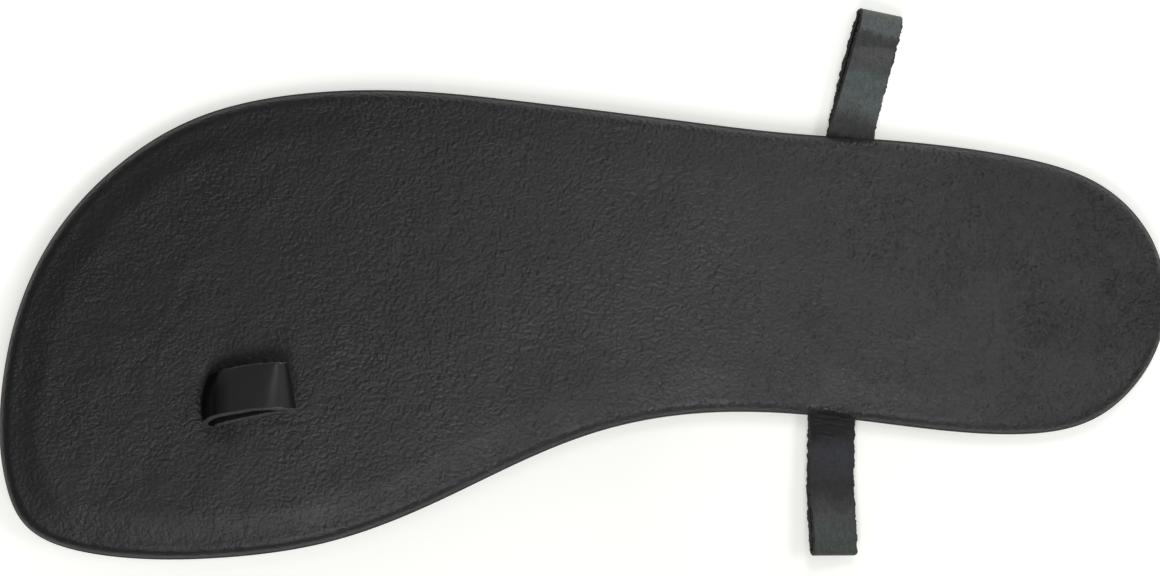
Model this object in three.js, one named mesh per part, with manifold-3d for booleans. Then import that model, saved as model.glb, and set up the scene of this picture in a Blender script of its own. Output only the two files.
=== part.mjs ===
// A black leather sandal for the right foot: a thin rubber outsole, a board wrapped in
// leather with a rolled rim, and three folded leather loops made for a lace.
// Millimetres. +X points to the toe, +Y to the inner side of the foot and +Z up, and the
// origin lies on the floor under the middle of the footbed's length.
import * as THREE from 'three';
import { mergeVertices } from 'three/addons/utils/BufferGeometryUtils.js';
import Module from 'manifold-3d';

const wasm = await Module();
wasm.setup();

// Footbed in plan
const soleLength = 253;
const ballWidth = 98;
const waistWidth = 60.8;
const heelWidth = 60.4;

// Layers
const outsoleThickness = 3;
const boardThickness = 3.2;
const leatherThickness = 1.2;
const joinGap = 0.3;

// Edges
const outsoleMargin = 0.45;
const outsoleRound = 0.5;
const rimRoll = 2.6;
const turnedMargin = 13;

// How far the padded top falls toward its rim, and how far the toe is bent up
const rimFall = 0.5;
const toeSpring = 2;

// Folded strips
const stripWidth = 10;
const stripThickness = 1.2;
const stripBevel = 0.25;
const glueGap = 0.2;
const heelTail = 10;
const toeTail = 12;
const toeLoopReach = 15.4;
const toeLoopRise = 9.2;
const toeRollDegrees = 20;
const medialLoopReach = 28.8;
const lateralLoopReach = 26.6;
const heelLoopRise = 1.6;

// Heights of the layers' faces
const footbedFloor = outsoleThickness + joinGap;
const marginTop = footbedFloor + leatherThickness;
const marginSeat = marginTop + joinGap;
const footbedTop = footbedFloor + boardThickness + joinGap + leatherThickness;

// The footbed's outline at each section: along is a share of the length from the heel,
// medial and lateral are where its two edges lie, as shares of the width in the last column
const sections = [
  { along: 0.010, medial: 0.193, lateral: -0.198, width: heelWidth },
  { along: 0.040, medial: 0.362, lateral: -0.362, width: heelWidth },
  { along: 0.088, medial: 0.461, lateral: -0.469, width: heelWidth },
  { along: 0.160, medial: 0.474, lateral: -0.533, width: heelWidth },
  { along: 0.240, medial: 0.439, lateral: -0.570, width: heelWidth },
  { along: 0.325, medial: 0.399, lateral: -0.591, width: waistWidth },
  { along: 0.410, medial: 0.402, lateral: -0.632, width: waistWidth },
  { along: 0.490, medial: 0.290, lateral: -0.418, width: ballWidth },
  { along: 0.565, medial: 0.368, lateral: -0.441, width: ballWidth },
  { along: 0.640, medial: 0.460, lateral: -0.459, width: ballWidth },
  { along: 0.725, medial: 0.537, lateral: -0.458, width: ballWidth },
  { along: 0.815, medial: 0.569, lateral: -0.417, width: ballWidth },
  { along: 0.890, medial: 0.569, lateral: -0.315, width: ballWidth },
  { along: 0.950, medial: 0.541, lateral: -0.156, width: ballWidth },
  { along: 0.985, medial: 0.474, lateral: 0.030, width: ballWidth },
  { along: 0.998, medial: 0.362, lateral: 0.194, width: ballWidth },
];
const heelEnd = { along: 0, across: 0, width: heelWidth };
const toeEnd = { along: 1, across: 0.286, width: ballWidth };

// How finely the outline is stepped, and how its rings lie inside it
const stepsPerSection = 3;
const splineRounds = 40;
const straightInset = 6;
const heelCentre = 0.115;
const toeCentre = 0.86;

// How far from the edge the fall begins, and its rings as shares of that
const fallWidth = 10;
const fallRingShares = [1, 0.8, 0.6, 0.4];
const rimDegrees = [90, 60, 30, 0];

// Where the toe spring begins, as a share of the length
const springStart = 0.72;

// The middle line of a loop from where it comes out: out and up are shares of its reach and
// rise, drift of the strip's width, open of its thickness, and roll of the loop's own roll
const toeLoopRows = [
  { out: 0.00, up: 0.00, drift: 0.00, open: 0.17, roll: 0.00 },
  { out: 0.02, up: 0.22, drift: -0.02, open: 0.50, roll: 0.30 },
  { out: 0.13, up: 0.53, drift: -0.10, open: 1.40, roll: 0.70 },
  { out: 0.34, up: 0.77, drift: -0.22, open: 1.80, roll: 1.00 },
  { out: 0.60, up: 0.93, drift: -0.30, open: 1.50, roll: 1.00 },
  { out: 0.84, up: 1.00, drift: -0.34, open: 0.90, roll: 0.95 },
  { out: 1.00, up: 1.00, drift: -0.36, open: 0.40, roll: 0.90 },
];
const heelLoopRows = [
  { out: 0.00, up: 0.00, drift: 0.00, open: 0.17, roll: 0.00 },
  { out: 0.18, up: 0.04, drift: 0.00, open: 0.17, roll: 0.45 },
  { out: 0.45, up: 0.30, drift: 0.00, open: 0.25, roll: 0.85 },
  { out: 0.75, up: 0.72, drift: 0.00, open: 0.40, roll: 1.00 },
  { out: 0.92, up: 0.94, drift: 0.00, open: 0.85, roll: 1.00 },
  { out: 1.00, up: 1.00, drift: 0.00, open: 0.90, roll: 1.00 },
];
const plySteps = 14;
const foldSteps = 6;
const turnSteps = 3;
const pocketSteps = 4;
const curveTension = 0.5;

// Where the loops come out: shares of the length, and of the ball's width for the slot
const toeSlot = { along: 0.815, across: 0.228 };
const medialLoop = { along: 0.2865, side: 1, leanDegrees: 0, rollDegrees: 16 };
const lateralLoop = { along: 0.2714, side: -1, leanDegrees: 14, rollDegrees: 19 };
const heelPocketMouth = 3;

const up = new THREE.Vector3(0, 0, 1);

// Height that the toe spring adds at a place along the sole
function springAt(x) {
  const past = Math.max(0, (x / soleLength + 0.5 - springStart) / (1 - springStart));
  return toeSpring * past * past;
}

function placed(x, y, z) {
  return new THREE.Vector3(x, y, z + springAt(x));
}

// From 1 down to 0 between two places, level at both ends
function fade(value, full, end) {
  return 1 - THREE.MathUtils.smoothstep(value, full, end);
}

// A closed curve through the points, smooth in direction and bend: the controls of an even
// cubic spline are moved until it passes through every point
function smoothLoop(points) {
  const count = points.length;
  const controls = points.map((point) => point.clone());
  for (let round = 0; round < splineRounds; round += 1) {
    controls.forEach((control, i) => {
      const before = controls[(i + count - 1) % count];
      const after = controls[(i + 1) % count];
      const passed = control.clone().multiplyScalar(4).add(before).add(after).divideScalar(6);
      control.add(points[i]).sub(passed);
    });
  }
  const samples = [];
  for (let step = 0; step < count * stepsPerSection; step += 1) {
    const i = Math.floor(step / stepsPerSection);
    const t = step / stepsPerSection - i;
    const near = [-1, 0, 1, 2].map((shift) => controls[(i + shift + count) % count]);
    const weights = [(1 - t) ** 3, 3 * t ** 3 - 6 * t * t + 4, 3 * t * (1 + t - t * t) + 1, t ** 3];
    const slopes = [-((1 - t) ** 2), 3 * t * t - 4 * t, 1 + 2 * t - 3 * t * t, t * t];
    const spot = new THREE.Vector2();
    const tangent = new THREE.Vector2();
    near.forEach((control, k) => {
      spot.addScaledVector(control, weights[k] / 6);
      tangent.addScaledVector(control, slopes[k]);
    });
    tangent.normalize();
    samples.push({ spot, inward: new THREE.Vector2(tangent.y, -tangent.x) });
  }
  return samples;
}

// The footbed's outline, from the heel's end round the inner side to the toe and back
function outlineOf() {
  const at = (along, share, width) => new THREE.Vector2((along - 0.5) * soleLength, share * width);
  const inner = sections.map((row) => at(row.along, row.medial, row.width));
  const outer = sections.map((row) => at(row.along, row.lateral, row.width)).reverse();
  const heel = at(heelEnd.along, heelEnd.across, heelEnd.width);
  const toe = at(toeEnd.along, toeEnd.across, toeEnd.width);
  return smoothLoop([heel, ...inner, toe, ...outer]);
}

const outline = outlineOf();
const ringCount = outline.length;

// Middle of the footbed between the two edges at a step of the outline
function middleAt(step) {
  return outline[step].spot.clone().add(outline[(ringCount - step) % ringCount].spot).multiplyScalar(0.5);
}

// Each step of the outline also keeps the way to the footbed's middle
outline.forEach((sample, step) => {
  let mate = Math.min(step, ringCount - step);
  while (middleAt(mate).x < (heelCentre - 0.5) * soleLength) mate += 1;
  while (middleAt(mate).x > (toeCentre - 0.5) * soleLength) mate -= 1;
  const shoulder = sample.spot.clone().addScaledVector(sample.inward, straightInset);
  sample.toMiddle = middleAt(mate).sub(shoulder).normalize();
});

// A ring that follows the outline at an inset and a height
function ring(inset, height) {
  return outline.map(({ spot, inward, toMiddle }) => {
    const place = spot.clone().addScaledVector(inward, Math.min(inset, straightInset));
    place.addScaledVector(toMiddle, Math.max(0, inset - straightInset));
    return placed(place.x, place.y, height);
  });
}

// Rings over the footbed's top and rolled rim, down to its side, on a surface that lies
// a depth below the leather's outside
function crown(depth) {
  const bands = fallRingShares.map((share) => (
    ring(share * fallWidth, footbedTop - depth - rimFall * fade(share * fallWidth, rimRoll, fallWidth))
  ));
  const rolls = rimDegrees.map((degrees) => {
    const angle = THREE.MathUtils.degToRad(degrees);
    const radius = rimRoll - depth;
    const height = footbedTop - rimFall - rimRoll + radius * Math.sin(angle);
    return ring(rimRoll - radius * Math.cos(angle), height);
  });
  return [...bands, ...rolls];
}

function geometryFrom(points, faces) {
  const geometry = new THREE.BufferGeometry();
  geometry.setAttribute('position', new THREE.Float32BufferAttribute(points.flatMap((p) => p.toArray()), 3));
  geometry.setIndex(faces.flat());
  return geometry;
}

// Triangles that close a ring from side to side, between steps at the same place along
function ladder(first, facesUp) {
  const faces = [];
  for (let step = 0; step < ringCount / 2; step += 1) {
    const near = first + step;
    const nearNext = near + 1;
    const far = first + (ringCount - step) % ringCount;
    const farNext = first + ringCount - step - 1;
    if (step > 0) faces.push([far, nearNext, near]);
    if (farNext !== nearNext) faces.push([far, farNext, nearNext]);
  }
  return facesUp ? faces : faces.map(([a, b, c]) => [a, c, b]);
}

// A solid whose skin runs from its closed top over the rings, outward first, to its closed end
function ringSolid(rings) {
  const faces = ladder(0, true);
  for (let level = 0; level < rings.length - 1; level += 1) {
    for (let step = 0; step < ringCount; step += 1) {
      const next = (step + 1) % ringCount;
      const [a, b] = [level * ringCount + step, level * ringCount + next];
      const [c, d] = [a + ringCount, b + ringCount];
      faces.push([a, b, d], [a, d, c]);
    }
  }
  faces.push(...ladder((rings.length - 1) * ringCount, false));
  return geometryFrom(rings.flat(), faces);
}

function solidOf(geometry) {
  const bare = geometry.clone();
  bare.deleteAttribute('normal');
  bare.deleteAttribute('uv');
  const merged = mergeVertices(bare);
  return new wasm.Manifold(new wasm.Mesh({
    numProp: 3,
    vertProperties: new Float32Array(merged.attributes.position.array),
    triVerts: new Uint32Array(merged.index.array),
  }));
}

function cutFrom(geometry, cutters) {
  let solid = solidOf(geometry);
  cutters.forEach((cutter) => {
    solid = solid.subtract(solidOf(cutter));
  });
  const mesh = solid.getMesh();
  const result = new THREE.BufferGeometry();
  result.setAttribute('position', new THREE.BufferAttribute(mesh.vertProperties, 3));
  result.setIndex(new THREE.BufferAttribute(mesh.triVerts, 1));
  return result;
}

// A box between two heights, turned in plan and raised with the toe spring
function pocket({ centre, out, across, from, to, half, low, high }) {
  const geometry = new THREE.BoxGeometry(to - from, 2 * half, high - low, pocketSteps, 1, 1);
  const position = geometry.attributes.position;
  for (let i = 0; i < position.count; i += 1) {
    const along = position.getX(i) + (from + to) / 2;
    const spot = centre.clone().addScaledVector(out, along).addScaledVector(across, position.getY(i));
    const point = placed(spot.x, spot.y, position.getZ(i) + (low + high) / 2);
    position.setXYZ(i, point.x, point.y, point.z);
  }
  if (new THREE.Vector3().crossVectors(out, across).z < 0) {
    geometry.index.array.reverse();
  }
  return geometry;
}

const stackHalf = stripThickness + glueGap / 2;
const pocketHalf = stripWidth / 2 + joinGap;
const heelSeat = marginSeat - joinGap - stackHalf;
const turnRadius = stripThickness / 2 + joinGap;

// Where a heel loop leaves the footbed's edge, and the way it points
function heelFrame({ along, side, leanDegrees }) {
  const x = (along - 0.5) * soleLength;
  const half = outline.filter((sample, step) => (side > 0) === (step <= ringCount / 2));
  const before = half.filter(({ spot }) => spot.x <= x).sort((a, b) => b.spot.x - a.spot.x)[0].spot;
  const after = half.filter(({ spot }) => spot.x > x).sort((a, b) => a.spot.x - b.spot.x)[0].spot;
  const edge = before.clone().lerp(after, (x - before.x) / (after.x - before.x));
  const angle = THREE.MathUtils.degToRad(leanDegrees);
  return {
    centre: new THREE.Vector3(edge.x, edge.y, 0),
    out: new THREE.Vector3(-Math.sin(angle), side * Math.cos(angle), 0),
    across: new THREE.Vector3(Math.cos(angle), side * Math.sin(angle), 0),
  };
}

const toeFrame = {
  centre: new THREE.Vector3((toeSlot.along - 0.5) * soleLength, toeSlot.across * ballWidth, 0),
  out: new THREE.Vector3(-1, 0, 0),
  across: new THREE.Vector3(0, 1, 0),
};

// Stations of a loop's two plies and of the fold between them, each with its middle, the
// way of the strip's width and the way that its outer face looks
function loopStations({ frame, rows, start, base, reach, rise, rollDegrees }) {
  const spotOf = (row) => frame.centre.clone()
    .addScaledVector(frame.out, row.out * reach)
    .addScaledVector(frame.across, row.drift * stripWidth)
    .addScaledVector(up, base + row.up * rise);
  const formOf = (row) => new THREE.Vector3(row.open * stripThickness, row.roll * rollDegrees, 0);
  const curveOf = (points) => new THREE.CatmullRomCurve3(points, false, 'catmullrom', curveTension);
  const line = curveOf([start, ...rows.map(spotOf)]);
  const form = curveOf([formOf(rows[0]), ...rows.map(formOf)]);
  const handed = Math.sign(new THREE.Vector3().crossVectors(frame.across, frame.out).z);
  const upper = [];
  const lower = [];
  let last = null;
  for (let step = 0; step <= plySteps; step += 1) {
    const t = step / plySteps;
    const centre = line.getPoint(t);
    const tangent = line.getTangent(t);
    const { x: open, y: degrees } = form.getPoint(t);
    const level = frame.across.clone().addScaledVector(tangent, -frame.across.dot(tangent)).normalize();
    const above = new THREE.Vector3().crossVectors(level, tangent).multiplyScalar(handed);
    const angle = THREE.MathUtils.degToRad(degrees);
    const width = level.clone().multiplyScalar(Math.cos(angle)).addScaledVector(above, Math.sin(angle));
    const face = above.multiplyScalar(Math.cos(angle)).addScaledVector(level, -Math.sin(angle));
    const apart = (stripThickness + open) / 2;
    upper.push({ middle: centre.clone().addScaledVector(face, apart), width, face });
    lower.push({ middle: centre.clone().addScaledVector(face, -apart), width, face: face.clone().negate() });
    last = { centre, tangent, width, face, apart };
  }
  const fold = [];
  for (let step = 1; step < foldSteps; step += 1) {
    const angle = Math.PI * step / foldSteps;
    const face = last.face.clone().multiplyScalar(Math.cos(angle));
    face.addScaledVector(last.tangent, Math.sin(angle));
    fold.push({ middle: last.centre.clone().addScaledVector(face, last.apart), width: last.width, face });
  }
  return [...upper, ...fold, ...lower.reverse()];
}

// One closed solid along the stations, with the strip's section and its worn edges
function stripSolid(stations) {
  const halfWidth = stripWidth / 2;
  const halfThick = stripThickness / 2;
  const corners = [
    [halfWidth - stripBevel, halfThick],
    [halfWidth, halfThick - stripBevel],
    [halfWidth, stripBevel - halfThick],
    [halfWidth - stripBevel, -halfThick],
    [stripBevel - halfWidth, -halfThick],
    [-halfWidth, stripBevel - halfThick],
    [-halfWidth, halfThick - stripBevel],
    [stripBevel - halfWidth, halfThick],
  ];
  const points = stations.flatMap(({ middle, width, face }) => corners.map(([side, depth]) => {
    const point = middle.clone().addScaledVector(width, side).addScaledVector(face, depth);
    return placed(point.x, point.y, point.z);
  }));
  const count = corners.length;
  const faces = [];
  for (let station = 0; station < stations.length - 1; station += 1) {
    for (let corner = 0; corner < count; corner += 1) {
      const [a, b] = [station * count + corner, station * count + (corner + 1) % count];
      faces.push([a, b, b + count], [a, b + count, a + count]);
    }
  }
  const end = (stations.length - 1) * count;
  for (let corner = 1; corner < count - 1; corner += 1) {
    faces.push([0, corner + 1, corner]);
    faces.push([end, end + corner, end + corner + 1]);
  }
  const travel = stations[1].middle.clone().sub(stations[0].middle);
  const turn = new THREE.Vector3().crossVectors(stations[0].width, stations[0].face).dot(travel);
  return geometryFrom(points, turn > 0 ? faces.map(([a, b, c]) => [a, c, b]) : faces);
}

function outsole() {
  const side = -outsoleMargin;
  const rounded = outsoleRound * (1 - Math.SQRT1_2);
  return ringSolid([
    ring(side + outsoleRound, outsoleThickness),
    ring(side + rounded, outsoleThickness - rounded),
    ring(side, outsoleThickness - outsoleRound),
    ring(side, outsoleRound),
    ring(side + rounded, rounded),
    ring(side + outsoleRound, 0),
  ]);
}

// The board fills the leather but for the join gap, and is thinner over the turned margin
function insoleBoard() {
  const depth = leatherThickness + joinGap;
  return ringSolid([
    ...crown(depth),
    ring(depth, marginSeat),
    ring(turnedMargin + joinGap, marginSeat),
    ring(turnedMargin + joinGap, footbedFloor),
  ]);
}

// The leather goes over the top, round the rim and under the board's edge, and comes back
// one thickness inside
function footbedCover() {
  const round = leatherThickness * (1 - Math.SQRT1_2);
  return ringSolid([
    ...crown(0),
    ring(0, marginTop),
    ring(round, footbedFloor + round),
    ring(leatherThickness, footbedFloor),
    ring(turnedMargin, footbedFloor),
    ring(turnedMargin, marginTop),
    ring(leatherThickness, marginTop),
    ...crown(leatherThickness).reverse(),
  ]);
}

// Two plies stand in the slot, and their tails part under the board
function toeLoop() {
  const stations = loopStations({
    frame: toeFrame,
    rows: toeLoopRows,
    start: toeFrame.centre.clone().addScaledVector(up, marginSeat),
    base: footbedTop,
    reach: toeLoopReach,
    rise: toeLoopRise,
    rollDegrees: toeRollDegrees,
  });
  const tail = (side) => {
    const turned = [];
    for (let step = 1; step <= turnSteps; step += 1) {
      const angle = Math.PI / 2 * step / turnSteps;
      const out = (stripThickness + glueGap) / 2 + turnRadius * (1 - Math.cos(angle));
      const middle = toeFrame.centre.clone().addScaledVector(toeFrame.out, side * out);
      middle.z = marginSeat - turnRadius * Math.sin(angle);
      const face = toeFrame.out.clone().multiplyScalar(side * Math.cos(angle));
      face.addScaledVector(up, Math.sin(angle));
      turned.push({ middle, width: toeFrame.across, face });
    }
    const flat = turned[turnSteps - 1];
    const middle = toeFrame.centre.clone().addScaledVector(toeFrame.out, side * toeTail);
    middle.z = flat.middle.z;
    return [...turned, { middle, width: flat.width, face: flat.face }];
  };
  return stripSolid([...tail(-1).reverse(), ...stations, ...tail(1)]);
}

// Two plies lie on each other between outsole and footbed, and stand out level past the edge
function heelLoop(loop, reach) {
  const frame = heelFrame(loop);
  return stripSolid(loopStations({
    frame,
    rows: heelLoopRows,
    start: frame.centre.clone().addScaledVector(frame.out, -heelTail).addScaledVector(up, heelSeat),
    base: heelSeat,
    reach,
    rise: heelLoopRise,
    rollDegrees: loop.rollDegrees,
  }));
}

const heelPockets = [medialLoop, lateralLoop].map((loop) => pocket({
  ...heelFrame(loop),
  from: -heelTail - joinGap,
  to: heelPocketMouth,
  half: pocketHalf,
  low: heelSeat - stackHalf - joinGap,
  high: heelSeat + stackHalf + joinGap,
}));

const slot = pocket({
  ...toeFrame,
  from: -stackHalf - joinGap,
  to: stackHalf + joinGap,
  half: pocketHalf,
  low: footbedFloor - joinGap,
  high: footbedTop + joinGap,
});

const tailPocket = pocket({
  ...toeFrame,
  from: -toeTail - joinGap,
  to: toeTail + joinGap,
  half: pocketHalf,
  low: footbedFloor - joinGap,
  high: marginSeat,
});

const rubber = new THREE.MeshStandardMaterial({ color: 0x1b1b1c, roughness: 0.8, metalness: 0 });
const board = new THREE.MeshStandardMaterial({ color: 0x8a6f4e, roughness: 0.9, metalness: 0 });
const leather = new THREE.MeshStandardMaterial({ color: 0x2c2d31, roughness: 0.55, metalness: 0 });
const strap = new THREE.MeshStandardMaterial({ color: 0x232428, roughness: 0.45, metalness: 0 });

function named(name, geometry, material) {
  const mesh = new THREE.Mesh(geometry, material);
  mesh.name = name;
  return mesh;
}

const sandal = new THREE.Group();
sandal.add(
  named('outsole', cutFrom(outsole(), heelPockets), rubber),
  named('insole_board', cutFrom(insoleBoard(), [slot, tailPocket]), board),
  named('footbed_cover', cutFrom(footbedCover(), [slot, ...heelPockets]), leather),
  named('toe_loop', toeLoop(), strap),
  named('heel_loop_medial', heelLoop(medialLoop, medialLoopReach), strap),
  named('heel_loop_lateral', heelLoop(lateralLoop, lateralLoopReach), strap),
);

export default sandal;
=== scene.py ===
# A black leather sandal for the right foot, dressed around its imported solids.
# Metres. +X points to the toe, +Y to the inner side of the foot and +Z up.
import math

import bmesh
import bpy
import numpy as np
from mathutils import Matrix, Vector, noise


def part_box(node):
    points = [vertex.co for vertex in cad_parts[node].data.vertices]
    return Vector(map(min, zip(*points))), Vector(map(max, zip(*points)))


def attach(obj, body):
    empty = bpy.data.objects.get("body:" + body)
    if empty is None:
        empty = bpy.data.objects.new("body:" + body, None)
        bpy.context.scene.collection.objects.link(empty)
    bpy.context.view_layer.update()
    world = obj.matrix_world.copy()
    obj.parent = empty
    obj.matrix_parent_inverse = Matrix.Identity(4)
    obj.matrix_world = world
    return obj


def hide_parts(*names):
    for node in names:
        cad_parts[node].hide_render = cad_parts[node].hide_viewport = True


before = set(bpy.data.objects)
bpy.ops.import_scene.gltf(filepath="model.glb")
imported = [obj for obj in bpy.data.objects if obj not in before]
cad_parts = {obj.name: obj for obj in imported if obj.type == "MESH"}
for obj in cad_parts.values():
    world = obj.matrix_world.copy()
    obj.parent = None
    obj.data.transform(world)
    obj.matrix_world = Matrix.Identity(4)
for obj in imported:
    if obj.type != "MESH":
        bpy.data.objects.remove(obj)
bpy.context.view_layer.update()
cover_low, cover_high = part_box("footbed_cover")

MM = 0.001

# Footbed in plan
SOLE_LENGTH = cover_high.x - cover_low.x
BALL_WIDTH = 98 * MM
WAIST_WIDTH = 60.8 * MM
HEEL_WIDTH = 60.4 * MM

# Layers
LEATHER_THICKNESS = 1.2 * MM
BOARD_THICKNESS = 3.2 * MM
JOIN_GAP = 0.3 * MM
FOOTBED_FLOOR = cover_low.z
OUTSOLE_THICKNESS = FOOTBED_FLOOR - JOIN_GAP
MARGIN_TOP = FOOTBED_FLOOR + LEATHER_THICKNESS
MARGIN_SEAT = MARGIN_TOP + JOIN_GAP
FOOTBED_TOP = FOOTBED_FLOOR + BOARD_THICKNESS + JOIN_GAP + LEATHER_THICKNESS

# Edges
OUTSOLE_MARGIN = 0.45 * MM
OUTSOLE_ROUND = 0.5 * MM
RIM_ROLL = 2.6 * MM
TURNED_MARGIN = 13 * MM

# How far the padded top falls toward its rim, and how far the toe is bent up
RIM_FALL = 0.5 * MM
FALL_WIDTH = 10 * MM
TOE_SPRING = 2 * MM
SPRING_START = 0.72

# The footbed's outline at each section: share of the length from the heel, where the inner
# and the outer edge lie as shares of a width, and that width
SECTIONS = [
    (0.010, 0.193, -0.198, HEEL_WIDTH),
    (0.040, 0.362, -0.362, HEEL_WIDTH),
    (0.088, 0.461, -0.469, HEEL_WIDTH),
    (0.160, 0.474, -0.533, HEEL_WIDTH),
    (0.240, 0.439, -0.570, HEEL_WIDTH),
    (0.325, 0.399, -0.591, WAIST_WIDTH),
    (0.410, 0.402, -0.632, WAIST_WIDTH),
    (0.490, 0.290, -0.418, BALL_WIDTH),
    (0.565, 0.368, -0.441, BALL_WIDTH),
    (0.640, 0.460, -0.459, BALL_WIDTH),
    (0.725, 0.537, -0.458, BALL_WIDTH),
    (0.815, 0.569, -0.417, BALL_WIDTH),
    (0.890, 0.569, -0.315, BALL_WIDTH),
    (0.950, 0.541, -0.156, BALL_WIDTH),
    (0.985, 0.474, 0.030, BALL_WIDTH),
    (0.998, 0.362, 0.194, BALL_WIDTH),
]
TOE_END_ACROSS = 0.286
STEPS_PER_SECTION = 24
SPLINE_ROUNDS = 60
STRAIGHT_INSET = 6 * MM
HEEL_CENTRE = 0.115
TOE_CENTRE = 0.86

# Sizes of the folded strips; the rolls are in degrees
STRIP_WIDTH = 10 * MM
TOE_STRIP_WIDTH = 10.5 * MM
STRIP_THICKNESS = 1.2 * MM
STRIP_BEVEL = 0.25 * MM
GLUE_GAP = 0.2 * MM
HEEL_TAIL = 10 * MM
TOE_TAIL = 12 * MM
STACK_HALF = STRIP_THICKNESS + GLUE_GAP / 2
HEEL_SEAT = MARGIN_SEAT - JOIN_GAP - STACK_HALF
TOE_REACH = 15.8 * MM
TOE_RISE = 9.2 * MM
TOE_ROLL_DEGREES = 20
HEEL_RISE = 1.6 * MM
MEDIAL_REACH = 28.8 * MM
MEDIAL_ROLL_DEGREES = 16
LATERAL_REACH = 26.6 * MM
LATERAL_ROLL_DEGREES = 19
TOE_RAGGED = 0.10 * MM
HEEL_RAGGED = 0.30 * MM

# The photograph: its size in pixels, the length of one pixel on the footbed, the column of
# the heel's end, the row of the footbed's middle line, and the level that the length holds at
PHOTO_SIZE = (1160, 576)
PIXEL = SOLE_LENGTH / 1165
PHOTO_HEEL = 1166
PHOTO_AXIS = 300
PHOTO_LEVEL = 5.5 * MM
CAMERA_HEIGHT = 0.95
SENSOR_WIDTH = 36
CAMERA_REACH = (0.01, 20)


def smoothstep(value, low, high):
    share = np.clip((value - low) / (high - low), 0, 1)
    return share * share * (3 - 2 * share)


def fade(value, full, end):
    """1 up to full, 0 from end on."""
    return 1 - smoothstep(value, full, end)


def at_pixel(column, row):
    """The place in plan that lies under a pixel of the photograph."""
    x = (PHOTO_HEEL - column) * PIXEL - SOLE_LENGTH / 2
    return np.array([x, (row - PHOTO_AXIS) * PIXEL])


def spring_at(x):
    """How far the toe is bent up there."""
    past = np.clip((x / SOLE_LENGTH + 0.5 - SPRING_START) / (1 - SPRING_START), 0, None)
    return TOE_SPRING * past * past


def smooth_loop(points):
    """A closed even cubic spline through the points: places and inward directions.

    The controls are moved until the spline passes the points; the rest is its usual formula.
    """
    points = np.array(points)
    controls = points.copy()
    for _ in range(SPLINE_ROUNDS):
        passed = (np.roll(controls, 1, 0) + 4 * controls + np.roll(controls, -1, 0)) / 6
        controls += points - passed
    a, b, c, d = [np.roll(controls, shift, 0)[:, None] for shift in (1, 0, -1, -2)]
    t = (np.arange(STEPS_PER_SECTION) / STEPS_PER_SECTION)[None, :, None]
    spots = (1 - t) ** 3 * a + (3 * t**3 - 6 * t**2 + 4) * b
    spots = (spots + (3 * t * (1 + t - t * t) + 1) * c + t**3 * d) / 6
    slopes = -((1 - t) ** 2) * a + (3 * t * t - 4 * t) * b
    slopes = (slopes + (1 + 2 * t - 3 * t * t) * c + t * t * d).reshape(-1, 2)
    slopes /= np.linalg.norm(slopes, axis=1)[:, None]
    return spots.reshape(-1, 2), np.stack([slopes[:, 1], -slopes[:, 0]], 1)


def outline():
    inner = [((share - 0.5) * SOLE_LENGTH, side * width) for share, side, _, width in SECTIONS]
    outer = [((share - 0.5) * SOLE_LENGTH, side * width) for share, _, side, width in SECTIONS]
    heel = (-0.5 * SOLE_LENGTH, 0)
    toe = (0.5 * SOLE_LENGTH, TOE_END_ACROSS * BALL_WIDTH)
    return smooth_loop([heel, *inner, toe, *reversed(outer)])


SPOTS, INWARD = outline()
COUNT = len(SPOTS)
STEP = np.arange(COUNT)


def middles():
    """For each step, the point of the footbed's middle line that its ray runs to."""
    middle = (SPOTS + SPOTS[(COUNT - STEP) % COUNT]) / 2
    mate = np.minimum(STEP, COUNT - STEP)
    inside = middle[:, 0] >= (HEEL_CENTRE - 0.5) * SOLE_LENGTH
    inside &= middle[:, 0] <= (TOE_CENTRE - 0.5) * SOLE_LENGTH
    allowed = STEP[inside & (STEP <= COUNT // 2)]
    return middle[np.clip(mate, allowed.min(), allowed.max())]


SHOULDER = SPOTS + INWARD * STRAIGHT_INSET
TO_MIDDLE = middles() - SHOULDER
REACH = np.linalg.norm(TO_MIDDLE, axis=1)
TO_MIDDLE /= REACH[:, None]


def ring(inset, height):
    """A ring of points that follows the outline; inset and height may differ from step to step."""
    inset = np.broadcast_to(inset, COUNT)
    plan = SPOTS + INWARD * np.minimum(inset, STRAIGHT_INSET)[:, None]
    plan = plan + TO_MIDDLE * np.maximum(0, inset - STRAIGHT_INSET)[:, None]
    return np.column_stack([plan, height + spring_at(plan[:, 0])])


# How a crease is formed: the share of its listed depth that it gets, the ridge beside it, and
# its bend, as a share of its length, at most so many mm, and how often it turns
CREASE_SHARE = 0.6
CREASE_RIDGE = 1.4
CREASE_BEND = 0.06
CREASE_MOST_BEND = 0.9
CREASE_TURNS = 2.4

# Creases of the footbed's leather: photograph pixels of their middle,
# direction in degrees from the foot's length, length, width and depth in mm
CREASES = [
    (1096, 345, 80, 9, 0.9, 0.10),
    (1060, 390, 76, 10, 1.0, 0.10),
    (1012, 395, 70, 8, 1.2, 0.05),
    (402, 250, 84, 34, 1.6, 0.10),
    (392, 330, 95, 26, 1.4, 0.08),
    (340, 190, 66, 22, 1.5, 0.10),
    (310, 260, 72, 26, 1.3, 0.08),
    (455, 205, 74, 24, 1.6, 0.08),
    (430, 290, 62, 20, 1.2, 0.07),
    (365, 150, 40, 18, 1.3, 0.08),
    (275, 205, 58, 20, 1.4, 0.08),
    (325, 345, 20, 14, 1.2, 0.08),
    (300, 440, 12, 16, 1.0, 0.06),
    (230, 450, 100, 18, 1.2, 0.07),
    (180, 300, 60, 22, 1.4, 0.07),
    (520, 260, 80, 22, 1.5, 0.06),
    (600, 300, 88, 20, 1.6, 0.05),
    (700, 250, 84, 18, 1.6, 0.04),
    (790, 300, 80, 16, 1.4, 0.04),
]


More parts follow.
